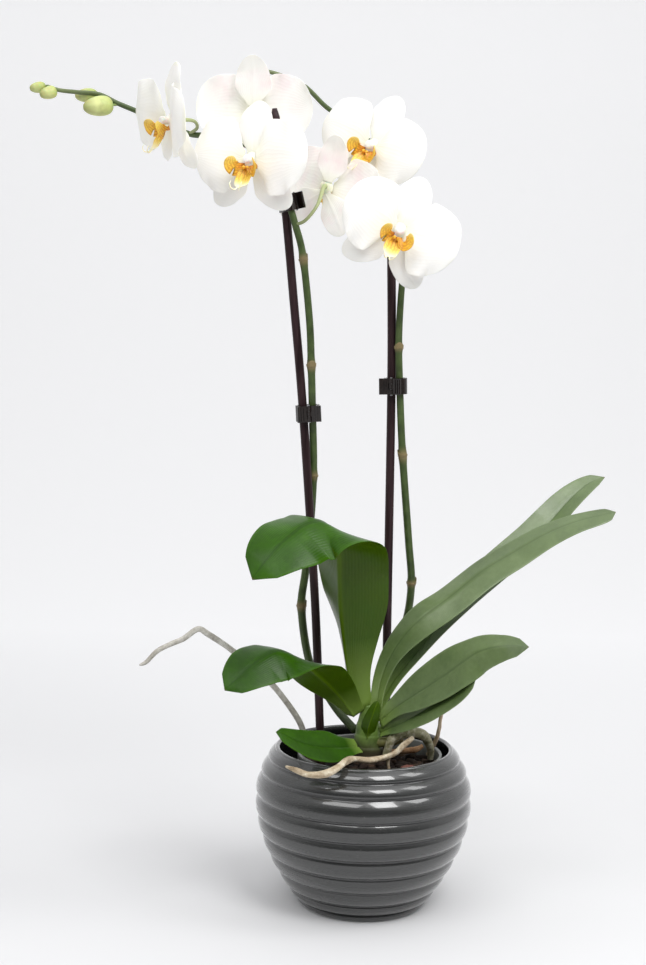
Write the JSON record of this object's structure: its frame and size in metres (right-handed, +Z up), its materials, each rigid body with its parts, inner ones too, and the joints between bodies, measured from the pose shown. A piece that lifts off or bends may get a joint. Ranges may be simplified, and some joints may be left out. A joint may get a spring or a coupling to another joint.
{
  "type": "potted orchid",
  "caption": "Moth orchid with arching strap leaves, staked spikes of white yellow-lipped flowers and buds, and aerial roots, in a nursery pot standing inside a ribbed ceramic pot.",
  "frame": {"origin": "centre of the ceramic pot's foot, on the surface that it stands on", "axes": "+Z up, -Y towards the viewer of the plant, +X to that viewer's right"},
  "size_m": [0.4752, 0.1764, 0.6778],
  "materials": {
    "ceramic_glaze": "glossy dark grey glaze over turned ribs",
    "nursery_plastic": "thin grey moulded plastic",
    "bark": "loose chips of dark bark",
    "leaf": "thick waxy leaf, paler underneath",
    "stem_base": "short fleshy stem with two cut stubs",
    "flower_spike": "smooth green stem with tan joints",
    "root": "dry papery root skin",
    "stake": "stained cane",
    "clip_plastic": "brown-black moulded plastic",
    "steel": "bright spring wire",
    "petal": "soft matt white petal",
    "lip": "waxy yellow lip with red-brown marks"
  },
  "bodies": {
    "plant_and_pots": {"bark_mix": "bark", "clip_left_mid_fixed_jaw": "clip_plastic", "clip_left_mid_spring_pin": "steel", "clip_left_top_fixed_jaw": "clip_plastic", "clip_left_top_spring_pin": "steel", "clip_right_mid_fixed_jaw": "clip_plastic", "clip_right_mid_spring_pin": "steel", "flower_end_dorsal_sepal": "petal", "flower_end_lip": "lip", "flower_end_lower_sepals": "petal", "flower_end_petal_left": "petal", "flower_end_petal_right": "petal", "flower_left_back_dorsal_sepal": "petal", "flower_left_back_lip": "lip", "flower_left_back_lower_sepals": "petal", "flower_left_back_petal_left": "petal", "flower_left_back_petal_right": "petal", "flower_left_front_dorsal_sepal": "petal", "flower_left_front_lip": "lip", "flower_left_front_lower_sepals": "petal", "flower_left_front_petal_left": "petal", "flower_left_front_petal_right": "petal", "flower_low_back_dorsal_sepal": "petal", "flower_low_back_lip": "lip", "flower_low_back_lower_sepals": "petal", "flower_low_back_petal_left": "petal", "flower_low_back_petal_right": "petal", "flower_right_back_dorsal_sepal": "petal", "flower_right_back_lip": "lip", "flower_right_back_lower_sepals": "petal", "flower_right_back_petal_left": "petal", "flower_right_back_petal_right": "petal", "flower_right_front_dorsal_sepal": "petal", "flower_right_front_lip": "lip", "flower_right_front_lower_sepals": "petal", "flower_right_front_petal_left": "petal", "flower_right_front_petal_right": "petal", "flower_spike_left": "flower_spike", "flower_spike_right": "flower_spike", "leaf_crown": "leaf", "leaf_front_small": "leaf", "leaf_left_low": "leaf", "leaf_left_tall": "leaf", "leaf_right_long_back": "leaf", "leaf_right_long_front": "leaf", "leaf_right_mid": "leaf", "leaf_right_under": "leaf", "nursery_pot": "nursery_plastic", "outer_pot": "ceramic_glaze", "root_aerial_left": "root", "root_arch": "root", "root_brown": "root", "root_over_rim": "root", "root_upright": "root", "stake_left": "stake", "stake_right": "stake", "stem_base": "stem_base"},
    "clip_left_mid_jaw": {"clip_left_mid_moving_jaw": "clip_plastic"},
    "clip_left_top_jaw": {"clip_left_top_moving_jaw": "clip_plastic"},
    "clip_right_mid_jaw": {"clip_right_mid_moving_jaw": "clip_plastic"}
  },
  "joints": [
    {"name": "clip_left_mid_open", "type": "hinge", "parent": "plant_and_pots", "child": "clip_left_mid_jaw", "pos_m": [-0.04924, 0.00695, 0.3967], "axis": [0.0611, 0.0868, -0.9943], "range_deg": [0, 28], "stiffness_Nm_per_rad": 0.01, "springref_deg": -28.65},
    {"name": "clip_left_top_open", "type": "hinge", "parent": "plant_and_pots", "child": "clip_left_top_jaw", "pos_m": [-0.06247, 0.00408, 0.56525], "axis": [-0.2304, -0.1104, 0.9668], "range_deg": [0, 28], "stiffness_Nm_per_rad": 0.01, "springref_deg": -28.65},
    {"name": "clip_right_mid_open", "type": "hinge", "parent": "plant_and_pots", "child": "clip_right_mid_jaw", "pos_m": [0.01664, 0.00554, 0.41981], "axis": [0.033, 0.0558, -0.9979], "range_deg": [0, 28], "stiffness_Nm_per_rad": 0.01, "springref_deg": -28.65}
  ]
}
